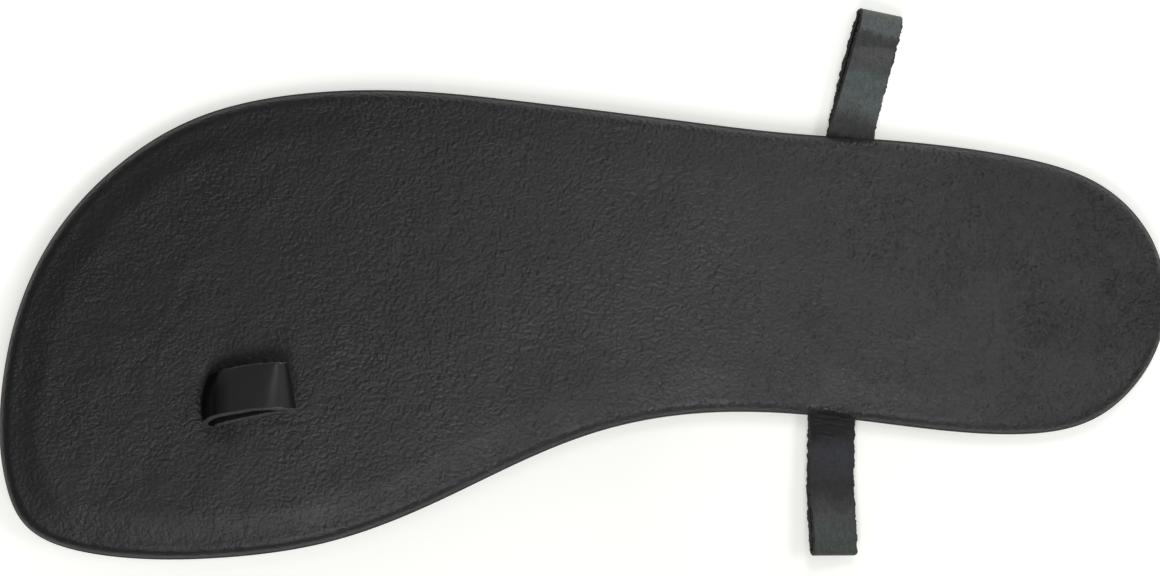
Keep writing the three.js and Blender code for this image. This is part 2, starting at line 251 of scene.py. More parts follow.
def crease_relief(plan, creases):
    """Soft troughs with a low ridge along each side."""
    total = np.zeros(len(plan))
    for column, row, degrees, length, width, depth in creases:
        angle = math.radians(degrees)
        way = np.array([math.cos(angle), math.sin(angle)])
        offset = plan - at_pixel(column, row)
        along = offset @ way / (length * MM / 2)
        most = min(CREASE_MOST_BEND, CREASE_BEND * length) * MM
        bend = most * np.sin(CREASE_TURNS * along + column)
        across = (offset @ np.array([-way[1], way[0]]) + bend) / (width * MM)
        wave = (1 - CREASE_RIDGE * across**2) * np.exp(-(across**2))
        total -= CREASE_SHARE * depth * MM * wave * np.exp(-((along**2) ** 2))
    return total


# Low unevenness of the leather over the board: waves per metre and height
BROAD_WAVES = 60
BROAD_HEIGHT = 0.09 * MM
NEAR_WAVES = 190
NEAR_HEIGHT = 0.045 * MM
NEAR_SHIFT = Vector((7, 3, 1))


def uneven_relief(points):
    spots = [Vector(point) for point in points]
    broad = np.array([noise.noise(spot * BROAD_WAVES) for spot in spots])
    near = np.array([noise.noise(spot * NEAR_WAVES + NEAR_SHIFT) for spot in spots])
    return BROAD_HEIGHT * broad + NEAR_HEIGHT * near


def mesh_object(name, points, faces):
    mesh = bpy.data.meshes.new(name)
    mesh.from_pydata([tuple(p) for p in points], [], faces)
    mesh.validate()
    made = bpy.data.objects.new(name, mesh)
    bpy.context.collection.objects.link(made)
    return made


MERGE_DISTANCE = 1e-7


def merge_and_face_out(made):
    work = bmesh.new()
    work.from_mesh(made.data)
    bmesh.ops.remove_doubles(work, verts=work.verts, dist=MERGE_DISTANCE)
    bmesh.ops.dissolve_degenerate(work, edges=work.edges, dist=MERGE_DISTANCE / 10)
    bmesh.ops.recalc_face_normals(work, faces=work.faces)
    work.to_mesh(made.data)
    work.free()


def bands(levels):
    """Faces between the rings, each a level of COUNT points."""
    faces = []
    for level in range(levels - 1):
        first = level * COUNT
        for step in range(COUNT):
            after = (step + 1) % COUNT
            above = first + COUNT
            faces.append((first + step, first + after, above + after, above + step))
    return faces


def ladder(level):
    """Faces that close a ring from side to side."""
    first = level * COUNT
    faces = [(first, first + 1, first + COUNT - 1)]
    for step in range(1, COUNT // 2 - 1):
        far = first + COUNT - step
        faces.append((first + step, first + step + 1, far - 1, far))
    half = first + COUNT // 2
    faces.append((half - 1, half, half + 1))
    return faces


def cut(made, cutters):
    """Cuts closed pieces out of a piece and drops them."""
    for cutter in cutters:
        step = made.modifiers.new("cut", "BOOLEAN")
        step.operation = "DIFFERENCE"
        step.solver = "EXACT"
        step.object = cutter
        bpy.context.view_layer.objects.active = made
        bpy.ops.object.modifier_apply(modifier=step.name)
    for cutter in cutters:
        bpy.data.objects.remove(cutter)


def smooth_by_angle(made, degrees):
    bpy.ops.object.select_all(action="DESELECT")
    made.select_set(True)
    bpy.context.view_layer.objects.active = made
    bpy.ops.object.shade_smooth_by_angle(angle=math.radians(degrees))


def node(tree, kind, inputs=None, **settings):
    """Adds a node; an input is a value or another node's socket."""
    made = tree.nodes.new(kind)
    for key, value in settings.items():
        setattr(made, key, value)
    for key, value in (inputs or {}).items():
        if isinstance(value, bpy.types.NodeSocket):
            tree.links.new(value, made.inputs[key])
        else:
            made.inputs[key].default_value = value
    return made


# Materials; their scales are waves per millimetre and their depths millimetres

def new_material(name):
    made = bpy.data.materials.new(name)
    made.use_nodes = True
    tree = made.node_tree
    return made, tree, tree.nodes["Principled BSDF"]


def vector_math(tree, operation, inputs, output="Vector"):
    return node(tree, "ShaderNodeVectorMath", inputs, operation=operation).outputs[output]


def scaled_by(tree, vector, factor):
    return vector_math(tree, "SCALE", {0: vector, "Scale": factor})


def millimetres(tree):
    """Object coordinates in millimetres."""
    return scaled_by(tree, node(tree, "ShaderNodeTexCoord").outputs["Object"], 1 / MM)


def stretched(tree, place, scale, turn=0.0):
    inputs = {"Vector": place, "Rotation": (0, 0, turn), "Scale": scale}
    return node(tree, "ShaderNodeMapping", inputs).outputs[0]


def noise_at(tree, place, scale, detail=2.0, roughness=0.5, distortion=0.0):
    made = node(tree, "ShaderNodeTexNoise", {
        "Vector": place, "Scale": scale, "Detail": detail,
        "Roughness": roughness, "Distortion": distortion,
    })
    return made.outputs["Fac"]


def ranged(tree, value, low, high, to_low=0.0, to_high=1.0, smooth=False):
    """The value, held between low and high, spread from to_low to to_high."""
    made = node(tree, "ShaderNodeMapRange", {
        "Value": value, "From Min": low, "From Max": high, "To Min": to_low, "To Max": to_high,
    }, interpolation_type="SMOOTHSTEP" if smooth else "LINEAR")
    return made.outputs["Result"]


def math_of(tree, operation, first, second):
    return node(tree, "ShaderNodeMath", {0: first, 1: second}, operation=operation).outputs[0]


def mixed(tree, share, first, second):
    made = node(tree, "ShaderNodeMix", {"Factor": share}, data_type="RGBA")
    for socket, value in zip([s for s in made.inputs if s.type == "RGBA"], (first, second)):
        if isinstance(value, bpy.types.NodeSocket):
            tree.links.new(value, socket)
        else:
            socket.default_value = (*value, 1)
    return [s for s in made.outputs if s.type == "RGBA"][0]


def bumped(tree, height, depth, normal=None, strength=1.0):
    inputs = {"Height": height, "Distance": depth * MM, "Strength": strength}
    if normal is not None:
        inputs["Normal"] = normal
    return node(tree, "ShaderNodeBump", inputs).outputs["Normal"]


def voronoi(tree, feature, inputs):
    return node(tree, "ShaderNodeTexVoronoi", inputs, feature=feature).outputs["Distance"]


def warped(tree, place, scale, amount):
    """Place moved by a slow noise, so that cells aren't even."""
    push = node(tree, "ShaderNodeTexNoise", {"Vector": place, "Scale": scale, "Detail": 2.0})
    centred = vector_math(tree, "SUBTRACT", {0: push.outputs["Color"], 1: (0.5, 0.5, 0.5)})
    return vector_math(tree, "ADD", {0: place, 1: scaled_by(tree, centred, amount)})


# Between which places the footbed's grain changes toward the toe, the heel and the inner edge,
# in mm from the middle of the length or from the heel's middle line, and its strength at both
GRAIN_TO_TOE = (35, 90, 1.0, 0.48)
GRAIN_TO_HEEL = (-110, -40, 1.7, 1.0)
GRAIN_TO_INNER_EDGE = (10, 40, 1.0, 0.75)

# Between which values of a slow noise the grain changes in patches, and its strength at both
GRAIN_PATCHES = (0.38, 0.62, 0.75, 1.25)

# Depths of the leather's slow swells, its grain, the lines between its patches and its pores,
# and how much the rounded domes add to the grain's hills
GRAIN_DEPTH = 0.27
SWELL_DEPTH = 0.22
WRINKLE_DEPTH = 0.012
PORE_DEPTH = 0.012
DOME_SHARE = 0.3

# The leather turns matt where it faces sideways: between which upward parts of its normal, and
# how much rougher it is at both
MATT_SIDE = (0.2, 0.6, 0.3, 0.0)

VALLEY_BLACK = (0.0045, 0.0045, 0.0047)
LEATHER_BLACK = (0.0088, 0.0088, 0.0090)
LEATHER_BLUISH = (0.0095, 0.0092, 0.0125)


def footbed_grain(tree, place):
    """Hills of the grain, from 0 to a little over 1, and the fine valleys that divide them."""
    bent = stretched(tree, warped(tree, place, 0.35, 1.2), (0.92, 1.04, 1), turn=0.25)
    domes = voronoi(tree, "SMOOTH_F1", {"Vector": bent, "Scale": 1.12, "Smoothness": 0.45})
    rounded = ranged(tree, math_of(tree, "MULTIPLY", domes, domes), 0, 0.6, 1, 0)
    soft = noise_at(tree, bent, 1.35, 2.0, 0.6)
    hills = math_of(tree, "ADD", math_of(tree, "MULTIPLY", rounded, DOME_SHARE), soft)
    cells = voronoi(tree, "DISTANCE_TO_EDGE", {"Vector": bent, "Scale": 0.5})
    return hills, ranged(tree, cells, 0, 0.10, smooth=True)


def grain_strength(tree, place):
    """How deep the grain is at a place: it differs in patches and toward three sides."""
    along, across, _ = node(tree, "ShaderNodeSeparateXYZ", {0: place}).outputs
    strength = ranged(tree, noise_at(tree, place, 0.075, 2.0, 0.5), *GRAIN_PATCHES)
    for way, fall in ((along, GRAIN_TO_TOE), (along, GRAIN_TO_HEEL), (across, GRAIN_TO_INNER_EDGE)):
        strength = math_of(tree, "MULTIPLY", strength, ranged(tree, way, *fall))
    return strength


def footbed_leather():
    made, tree, shader = new_material("footbed_leather")
    place = millimetres(tree)
    hills, wrinkles = footbed_grain(tree, place)
    strength = grain_strength(tree, place)
    fine = noise_at(tree, place, 3.2, 3.0, 0.6)
    low = bumped(tree, noise_at(tree, place, 0.16, 3.0, 0.5), SWELL_DEPTH)
    middle = bumped(tree, hills, GRAIN_DEPTH, low, strength)
    lined = bumped(tree, wrinkles, WRINKLE_DEPTH, middle, strength)
    tree.links.new(bumped(tree, fine, PORE_DEPTH, lined), shader.inputs["Normal"])
    patch = ranged(tree, noise_at(tree, place, 0.045, 3.0, 0.55), 0.36, 0.64)
    top_color = mixed(tree, patch, LEATHER_BLACK, LEATHER_BLUISH)
    color = mixed(tree, ranged(tree, hills, 0.45, 0.85), VALLEY_BLACK, top_color)
    tree.links.new(color, shader.inputs["Base Color"])
    rough = ranged(tree, math_of(tree, "ADD", fine, patch), 0.3, 1.6, 0.38, 0.48)
    facing = node(tree, "ShaderNodeNewGeometry").outputs["Normal"]
    upward = node(tree, "ShaderNodeSeparateXYZ", {0: facing}).outputs["Z"]
    matt = math_of(tree, "ADD", rough, ranged(tree, upward, *MATT_SIDE))
    tree.links.new(matt, shader.inputs["Roughness"])
    shader.inputs["Specular IOR Level"].default_value = 0.42
    return made


STRIP_BLACK = (0.0040, 0.0040, 0.0042)

# Between which places the toe loop's sheen dies out toward its front, in mm, and its value at both
TOE_SHEEN = (75.5, 79, 0.7, 0.06)


def toe_leather():
    made, tree, shader = new_material("toe_strip_leather")
    place = millimetres(tree)
    fine = noise_at(tree, place, 4.0, 3.0, 0.6)
    streaks = noise_at(tree, stretched(tree, place, (1, 0.25, 1)), 0.35, 2.0, 0.5)
    low = bumped(tree, streaks, 0.10)
    tree.links.new(bumped(tree, fine, 0.012, low), shader.inputs["Normal"])
    shader.inputs["Base Color"].default_value = (*STRIP_BLACK, 1)
    tree.links.new(ranged(tree, fine, 0.2, 0.8, 0.30, 0.38), shader.inputs["Roughness"])
    along = node(tree, "ShaderNodeSeparateXYZ", {0: place}).outputs["X"]
    tree.links.new(ranged(tree, along, *TOE_SHEEN), shader.inputs["Specular IOR Level"])
    return made


def color_ramp(tree, value, stops):
    made = node(tree, "ShaderNodeValToRGB", {"Fac": value})
    elements = made.color_ramp.elements
    while len(elements) < len(stops):
        elements.new(1)
    for element, (position, color) in zip(elements, stops):
        element.position = position
        element.color = (*color, 1)
    return made.outputs["Color"]


# How far blotches shift the waxed leather's tone, with its painted shade and highlights, along a heel
# loop, in mm, and how much speckles and streaks darken and pale it: between which values of a noise,
# and how much at both
TONE_SHIFT = (0.3, 0.7, -1.4, 1.4)
SPECKLES = (0.35, 0.65, 0.84, 1.16)
STREAKS = (0.3, 0.7, 0.80, 1.20)

# How that leather darkens and pales from the footbed outward: mm past the footbed's outline,
# and a colour. The colours are partly the leather's own tone and partly painted light: painted
# shade where the strip comes out from under the footbed's rim, and a paler, painted-lit end by the fold
MEDIAL_TONES_AND_PAINTED_LIGHT = [
    (0.0, (0.002, 0.002, 0.002)),
    (3.6, (0.003, 0.003, 0.003)),
    (5.6, (0.012, 0.012, 0.014)),
    (7.6, (0.020, 0.021, 0.027)),
    (12.0, (0.019, 0.019, 0.024)),
    (15.0, (0.015, 0.015, 0.015)),
    (17.5, (0.019, 0.019, 0.019)),
    (22.0, (0.043, 0.044, 0.043)),
    (25.0, (0.041, 0.050, 0.048)),
    (28.5, (0.036, 0.044, 0.038)),
    (31.0, (0.052, 0.056, 0.047)),
]
# The outer loop's colours hold painted shade at its base and in the crease by the fold, and a painted
# highlight on the fold
LATERAL_TONES_AND_PAINTED_LIGHT = [
    (0.0, (0.006, 0.006, 0.007)),
    (1.5, (0.022, 0.023, 0.023)),
    (3.5, (0.030, 0.031, 0.030)),
    (6.0, (0.056, 0.062, 0.061)),
    (9.0, (0.072, 0.089, 0.086)),
    (11.3, (0.061, 0.078, 0.075)),
    (13.0, (0.074, 0.091, 0.088)),
    (15.0, (0.057, 0.069, 0.067)),
    (16.5, (0.056, 0.060, 0.058)),
    (20.0, (0.066, 0.066, 0.066)),
    (21.3, (0.037, 0.037, 0.038)),
    (23.0, (0.046, 0.050, 0.049)),
    (24.5, (0.092, 0.107, 0.105)),
    (26.0, (0.078, 0.092, 0.090)),
    (28.5, (0.094, 0.100, 0.092)),
]


def heel_leather(name, strip, stops):
    """Waxed leather whose tone changes along a strip, with painted shade and highlights in that tone.
    """
    made, tree, shader = new_material(name)
    place = millimetres(tree)
    origin = [value / MM for value in strip["centre"]]
    offset = vector_math(tree, "SUBTRACT", {0: place, 1: (*origin, 0)})
    past = vector_math(tree, "DOT_PRODUCT", {0: offset, 1: (*strip["out"], 0)}, output="Value")
    blotch = noise_at(tree, place, 0.28, 3.0, 0.6)
    moved = math_of(tree, "ADD", past, ranged(tree, blotch, *TONE_SHIFT))
    length = stops[-1][0]
    shares = [(at / length, color) for at, color in stops]
    # The ramp paints shade and highlights along the strip, together with the leather's own tone
    tone_and_painted_light = color_ramp(tree, ranged(tree, moved, 0, length), shares)
    streaks = noise_at(tree, stretched(tree, place, (1, 0.35, 1)), 1.6, 3.0, 0.65)
    fine = noise_at(tree, place, 3.0, 3.0, 0.6)
    speckle = ranged(tree, noise_at(tree, place, 2.2, 2.0, 0.5), *SPECKLES)
    streaked = ranged(tree, streaks, *STREAKS)
    mottled = scaled_by(tree, tone_and_painted_light, math_of(tree, "MULTIPLY", streaked, speckle))
    tree.links.new(mottled, shader.inputs["Base Color"])
    low = bumped(tree, noise_at(tree, place, 0.3, 2.0, 0.5), 0.10)
    middle = bumped(tree, streaks, 0.05, low)
    tree.links.new(bumped(tree, fine, 0.02, middle), shader.inputs["Normal"])
    tree.links.new(ranged(tree, fine, 0.2, 0.8, 0.50, 0.62), shader.inputs["Roughness"])
    shader.inputs["Specular IOR Level"].default_value = 0.2
    return made


# Dark and pale fibres of the strips' inside and cut edges; the inside, the flesh side between the plies
# and on the lower ply where it shows, is painted near black for the shade that falls there
INSIDE_FIBRES_IN_PAINTED_SHADE = ((0.003, 0.003, 0.003), (0.012, 0.012, 0.012))
TOE_EDGE_FIBRES = ((0.008, 0.008, 0.008), (0.12, 0.12, 0.116))
HEEL_EDGE_FIBRES = ((0.012, 0.012, 0.012), (0.060, 0.060, 0.056))


def raw_leather(name, dark, light):
    """Fibrous leather of a cut edge or of the flesh side."""
    made, tree, shader = new_material(name)
    fibres = noise_at(tree, millimetres(tree), 4.0, 4.0, 0.7, 0.6)
    tree.links.new(bumped(tree, fibres, 0.15), shader.inputs["Normal"])
    color = mixed(tree, ranged(tree, fibres, 0.35, 0.65), dark, light)
    tree.links.new(color, shader.inputs["Base Color"])
    shader.inputs["Roughness"].default_value = 0.9
    shader.inputs["Specular IOR Level"].default_value = 0.2
    return made


RUBBER_TONES = ((0.012, 0.012, 0.012), (0.024, 0.024, 0.025))
BOARD_TONES = ((0.17, 0.10, 0.05), (0.33, 0.22, 0.12))
TREAD_DEPTH = 0.35


def rubber():
    made, tree, shader = new_material("outsole_rubber")
    place = millimetres(tree)
    turned = stretched(tree, place, (1, 1, 1), turn=math.pi / 4)
    cut_up = node(tree, "ShaderNodeTexBrick", {
        "Vector": turned, "Scale": 0.25, "Mortar Size": 0.06, "Mortar Smooth": 0.4,
        "Brick Width": 0.7, "Row Height": 0.7, "Color1": (1, 1, 1, 1), "Color2": (1, 1, 1, 1),
    }, offset=0.0)
    speck = noise_at(tree, place, 2.5, 3.0, 0.6)
    tread = bumped(tree, cut_up.outputs["Color"], TREAD_DEPTH)
    tree.links.new(bumped(tree, speck, 0.05, tread), shader.inputs["Normal"])
    tree.links.new(mixed(tree, speck, *RUBBER_TONES), shader.inputs["Base Color"])
    tree.links.new(ranged(tree, speck, 0.2, 0.8, 0.62, 0.8), shader.inputs["Roughness"])
    return made


def fibre_board():
    made, tree, shader = new_material("fibre_board")
    fibres = noise_at(tree, millimetres(tree), 1.5, 4.0, 0.7, 1.0)
    tree.links.new(bumped(tree, fibres, 0.1), shader.inputs["Normal"])
    tree.links.new(mixed(tree, fibres, *BOARD_TONES), shader.inputs["Base Color"])
    shader.inputs["Roughness"].default_value = 0.9
    return made


FLOOR_COLOR = (0.9, 0.9, 0.86)
GLOW_COLOR = (1, 1, 0.97)

# The floor glows least beside the inner heel loop: the place in mm, between which distances
# from it the glow rises, and its strength at both
FLOOR_DIM_PLACE = (-40, 40, 0)
FLOOR_GLOW = (30, 200, 0.10, 0.66)


def floor_material():
    made, tree, shader = new_material("floor_white")
    shader.inputs["Base Color"].default_value = (*FLOOR_COLOR, 1)
    shader.inputs["Roughness"].default_value = 0.9
    shader.inputs["Specular IOR Level"].default_value = 0.1
    shader.inputs["Emission Color"].default_value = (*GLOW_COLOR, 1)
    away = vector_math(tree, "DISTANCE", {0: millimetres(tree), 1: FLOOR_DIM_PLACE}, output="Value")
    tree.links.new(ranged(tree, away, *FLOOR_GLOW), shader.inputs["Emission Strength"])
    return made


# Camera, floor and lights

FLOOR_HALF = 3
WORLD_LIGHT = 0.25
POOL_DEGREES = 26
POOL_SOFTNESS = 0.10


def camera():
    data = bpy.data.cameras.new("camera")
    made = bpy.data.objects.new("camera", data)
    bpy.context.collection.objects.link(made)
    bpy.context.scene.camera = made
    width = PHOTO_SIZE[0] * PIXEL
    seen = at_pixel(PHOTO_SIZE[0] / 2, PHOTO_SIZE[1] / 2)
    data.sensor_width = SENSOR_WIDTH
    data.lens = SENSOR_WIDTH * CAMERA_HEIGHT / width
    data.clip_start, data.clip_end = CAMERA_REACH
    made.location = (seen[0], seen[1], CAMERA_HEIGHT + PHOTO_LEVEL)
    made.rotation_euler = (0, 0, math.pi)


def add_light(name, data, place, power, target):
    data.energy = power
    made = bpy.data.objects.new(name, data)
    bpy.context.collection.objects.link(made)
    made.location = place
    way = Vector(target) - Vector(place)
    made.rotation_euler = way.to_track_quat("-Z", "Y").to_euler()


def panel(name, degrees, height_degrees, distance, size, power, color=(1, 1, 1)):
    """A rectangular lamp that looks at the sandal's middle; its way round and height in degrees."""
    data = bpy.data.lights.new(name, "AREA")
    data.shape = "RECTANGLE"
    data.size, data.size_y = size
    data.color = color
    turn, lift = math.radians(degrees), math.radians(height_degrees)
    level = distance * math.cos(lift)
    place = (level * math.cos(turn), level * math.sin(turn), distance * math.sin(lift))
    add_light(name, data, place, power, (0, 0, 0))


def spot(name, place, target, power):
    """A soft pool of light."""
    data = bpy.data.lights.new(name, "SPOT")
    data.spot_size = math.radians(POOL_DEGREES)
    data.spot_blend = 1
    data.shadow_soft_size = POOL_SOFTNESS
    add_light(name, data, place, power, target)


def studio():
    half = FLOOR_HALF
    corners = [(-half, -half, 0), (half, -half, 0), (half, half, 0), (-half, half, 0)]
    floor = mesh_object("floor", corners, [(0, 1, 2, 3)])
    floor.data.materials.append(floor_material())
    world = bpy.data.worlds.new("studio")
    bpy.context.scene.world = world
    world.use_nodes = True
    background = world.node_tree.nodes["Background"]
    background.inputs["Color"].default_value = (1, 1, 1, 1)
    background.inputs["Strength"].default_value = WORLD_LIGHT
    panel("back_panel", 180, 55, 1.0, (0.4, 0.25), 1.92)
    panel("low_panel", 240, 12, 0.7, (0.4, 0.25), 1.34, (0.94, 1, 0.98))
    panel("high_panel", 90, 70, 0.5, (0.2, 0.12), 0.533)
    spot("inner_pool", (0, 0.32, 0.40), (-0.04, 0.03, 0), 5.6)
    spot("outer_pool", (-0.1, -0.25, 0.50), (-0.08, 0.01, 0), 4.0)
    view = bpy.context.scene.view_settings
    view.view_transform = "Standard"
    view.look = "None"


# Footbed and outsole

TOE_SLOT = (0.815, 0.228)
TOE_PLACE = np.array([(TOE_SLOT[0] - 0.5) * SOLE_LENGTH, TOE_SLOT[1] * BALL_WIDTH])
SLOT_DIMPLE = 0.35 * MM
DIMPLE_WIDTH = 2.4 * MM
FILL_STEPS = 46
SHOULDER_STEPS = 5
ROLL_STEPS = 10
EDGE_STEPS = 5
OUTSOLE_EDGE_STEPS = 4
QUARTER = math.pi / 2
SMOOTH_DEGREES = 40

# How far the cutters of the strips' seats and of the slot reach past what they cut
SEAT_OVERSHOOT = 3 * MM
SLOT_OVERSHOOT = 1 * MM


def crown(depth, fill, shoulder, roll):
    """Rings from the middle over the footbed's top to its side, at a depth inside its face.

    The last three values are the counts of rings on the flat, on the shoulder and on the roll.
    """
    rings = []
    insets = [STRAIGHT_INSET + REACH * share for share in np.linspace(1, 0, fill, endpoint=False)]
    insets += list(np.linspace(STRAIGHT_INSET, RIM_ROLL, shoulder, endpoint=False))
    for inset in insets:
        rings.append(ring(inset, FOOTBED_TOP - depth - RIM_FALL * fade(inset, RIM_ROLL, FALL_WIDTH)))
    radius = RIM_ROLL - depth
    for angle in np.linspace(QUARTER, 0, roll):
        inset = RIM_ROLL - radius * math.cos(angle)
        rings.append(ring(inset, FOOTBED_TOP - RIM_FALL - RIM_ROLL + radius * math.sin(angle)))
    return rings


def slot_dimple(plan):
    """The leather dips where it turns into the slot."""
    offset = np.abs(plan - TOE_PLACE) - np.array([STACK_HALF, STRIP_WIDTH / 2])
    distance = np.linalg.norm(np.maximum(offset, 0), axis=1)
    return -SLOT_DIMPLE * np.exp(-((distance / DIMPLE_WIDTH) ** 2))


def box_piece(name, strip, span, half, low, high, steps=8):
    """A closed box along a strip, raised with the toe spring."""
    points = []
    for level in (low, high):
        for side in (-half, half):
            for along in np.linspace(*span, steps):
                plan = strip["centre"] + strip["out"] * along + strip["across"] * side
                points.append((*plan, level + spring_at(plan[0])))
    faces = []
    edges = [np.arange(steps) + edge * steps for edge in range(4)]
    around = [edges[number] for number in (0, 1, 3, 2)]
    for here, beside in zip(around, [*around[1:], around[0]]):
        for step in range(steps - 1):
            faces.append((here[step], here[step + 1], beside[step + 1], beside[step]))
    for step in (0, steps - 1):
        faces.append([edge[step] for edge in around])
    made = mesh_object(name, points, faces)
    merge_and_face_out(made)
    return made


def edge_at(along, side):
    """Where the outline's inner or outer edge lies at a share of the length."""
    x = (along - 0.5) * SOLE_LENGTH
    half = SPOTS[: COUNT // 2 + 1] if side > 0 else SPOTS[COUNT // 2:][::-1]
    return np.array([x, np.interp(x, half[:, 0], half[:, 1])])


def heel_frame(along, side, lean):
    """Where a heel loop leaves the outline, its way out and the way of its width, in plan."""
    angle = math.radians(lean)
    return {
        "centre": edge_at(along, side),
        "out": np.array([-math.sin(angle), side * math.cos(angle)]),
        "across": np.array([math.cos(angle), side * math.sin(angle)]),
    }


# Where along the length the heel loops leave the outline, and the outer one's lean in degrees
MEDIAL_ALONG = 0.2865
LATERAL_ALONG = 0.2714
LATERAL_LEAN = 14

MEDIAL_FRAME = heel_frame(MEDIAL_ALONG, 1, 0)
LATERAL_FRAME = heel_frame(LATERAL_ALONG, -1, LATERAL_LEAN)
TOE_FRAME = {"centre": TOE_PLACE, "out": np.array([-1.0, 0]), "across": np.array([0, 1.0])}


def heel_cutters():
    half = STRIP_WIDTH / 2 + JOIN_GAP
    span = (-HEEL_TAIL - JOIN_GAP, SEAT_OVERSHOOT)
    low = HEEL_SEAT - STACK_HALF - JOIN_GAP
    high = HEEL_SEAT + STACK_HALF + JOIN_GAP
    strips = (MEDIAL_FRAME, LATERAL_FRAME)
    return [box_piece("cutter", strip, span, half, low, high) for strip in strips]


def slot_cutter():
    reach = STACK_HALF + JOIN_GAP
    half = STRIP_WIDTH / 2 + JOIN_GAP
    high = FOOTBED_TOP + SLOT_OVERSHOOT
    return box_piece("slot", TOE_FRAME, (-reach, reach), half, OUTSOLE_THICKNESS, high, steps=3)


def rounded_edge(side, radius, height, angles):
    """Rings round an edge that lies below a height; the angles are measured from level."""
    return [ring(side + radius * (1 - math.cos(angle)), height - radius * (1 - math.sin(angle)))
            for angle in angles]


def footbed_cover():
    under = np.linspace(0, -QUARTER, EDGE_STEPS)
    outer = crown(0, FILL_STEPS, SHOULDER_STEPS, ROLL_STEPS)
    outer += rounded_edge(0, LEATHER_THICKNESS, FOOTBED_FLOOR + 2 * LEATHER_THICKNESS, under)
    outer.append(ring(TURNED_MARGIN, FOOTBED_FLOOR))
    inner = [ring(TURNED_MARGIN, MARGIN_TOP), ring(LEATHER_THICKNESS, MARGIN_TOP)]
    inner += crown(LEATHER_THICKNESS, fill=3, shoulder=2, roll=3)[::-1]
    top_levels = FILL_STEPS + SHOULDER_STEPS + ROLL_STEPS
    points = np.concatenate(outer + inner)
    top = points[: top_levels * COUNT]
    relief = crease_relief(top[:, :2], CREASES) + slot_dimple(top[:, :2]) + uneven_relief(top)
    share = np.ones(top_levels)
    share[-ROLL_STEPS:] = np.linspace(1, 0, ROLL_STEPS)
    top[:, 2] += relief * np.repeat(share, COUNT)
    faces = bands(len(outer) + len(inner)) + ladder(len(outer) + len(inner) - 1)
    made = mesh_object("cover", points, faces)
    merge_and_face_out(made)
    cut(made, [slot_cutter(), *heel_cutters()])
    smooth_by_angle(made, SMOOTH_DEGREES)
    return made


def outsole():
    over = np.linspace(QUARTER, 0, OUTSOLE_EDGE_STEPS)
    under = np.linspace(0, -QUARTER, OUTSOLE_EDGE_STEPS)
    rings = rounded_edge(-OUTSOLE_MARGIN, OUTSOLE_ROUND, OUTSOLE_THICKNESS, over)
    rings += rounded_edge(-OUTSOLE_MARGIN, OUTSOLE_ROUND, 2 * OUTSOLE_ROUND, under)
    points = np.concatenate(rings)
    faces = ladder(0) + bands(len(rings)) + ladder(len(rings) - 1)
    made = mesh_object("rubber_sole", points, faces)
    merge_and_face_out(made)
    cut(made, heel_cutters())
    smooth_by_angle(made, SMOOTH_DEGREES)
    return made


# The folded strips

# A loop's rows, from the footbed to the fold: where its middle line lies outward and upward, as
# shares of its reach and rise; its drift to the side, as a share of the strip's width; the gap
# between the plies, as a share of their thickness; the share of the loop's own roll; how far
# the lower ply slips out past the upper one, as a share of the width; and how far the middle of
# both plies bows out, as a share of the thickness
TOE_ROWS = [
    (0.00, 0.00, 0.00, 0.30, 0.00, 0.00, 0.10),
    (-0.01, 0.20, -0.02, 1.00, 0.30, 0.00, 0.70),
    (0.04, 0.46, -0.08, 1.70, 0.65, 0.01, 0.80),
    (0.16, 0.70, -0.16, 2.20, 0.90, 0.02, 0.60),
    (0.34, 0.86, -0.23, 2.20, 1.00, 0.02, 0.35),
    (0.56, 0.95, -0.30, 1.90, 1.00, 0.02, 0.05),
    (0.72, 1.00, -0.33, 1.45, 0.97, 0.01, 0.00),
    (0.83, 1.01, -0.35, 1.15, 0.90, 0.00, 0.00),
    (0.91, 0.985, -0.36, 0.95, 0.80, 0.00, 0.00),
    (0.955, 0.93, -0.36, 0.80, 0.70, 0.00, 0.00),
    (0.985, 0.85, -0.36, 0.75, 0.65, 0.00, 0.00),
]
MEDIAL_ROWS = [
    (0.00, 0.00, 0.00, 0.17, 0.00, 0.00, 0.00),
    (0.18, 0.04, 0.01, 0.17, 0.45, 0.00, 0.05),
    (0.45, 0.30, 0.03, 0.20, 0.85, 0.01, -0.10),
    (0.75, 0.72, 0.00, 0.30, 1.00, 0.02, 0.05),
    (0.92, 0.94, -0.03, 0.70, 1.00, 0.01, 0.10),
    (1.00, 1.00, -0.03, 0.75, 1.00, 0.00, 0.00),
]
LATERAL_ROWS = [
    (0.00, 0.00, 0.00, 0.17, 0.00, 0.00, 0.00),
    (0.18, 0.04, 0.00, 0.17, 0.45, 0.02, 0.05),
    (0.45, 0.30, 0.00, 0.25, 0.85, 0.04, 0.15),
    (0.75, 0.72, -0.01, 0.40, 1.00, 0.05, 0.00),
    (0.92, 0.94, -0.01, 0.90, 1.00, 0.02, 0.10),
    (1.00, 1.00, 0.00, 0.95, 1.00, 0.00, 0.00),
]
PLY_STEPS = 200
FOLD_STEPS = 16
TURN_STEPS = 6
TOP_COLUMNS = 36
EDGE_COLUMNS = 5
STRIP_SMOOTH_DEGREES = 50

# Strips are creased where the upward part of their outer face's way is above this
CREASED_FROM = 0.3

# What frays a cut edge sideways, and what lifts it: waves per metre and share of the raggedness
FRAYS = [(700, 1), (2100, 0.8), (5000, 0.5)]
FRAY_LIFT = (3500, 0.4)

# Creases across the strips, in the same form as the footbed's
STRIP_CREASES = [
    (877, 40, -9, 60, 2.4, 0.42),
    (862, 52, -4, 10, 1.0, 0.06),
    (834, 415, 3, 12, 0.45, 0.14),
    (842, 420, 6, 9, 0.35, 0.14),
    (823, 422, 2, 5, 0.35, 0.12),
    (836, 426, 5, 11, 0.40, 0.15),
    (822, 432, 6, 4, 0.35, 0.12),
    (829, 434, 0, 3, 0.35, 0.30),
    (831, 505, 4, 30, 1.8, 0.08),
    (224, 392, 84, 30, 3.0, 0.06),
]


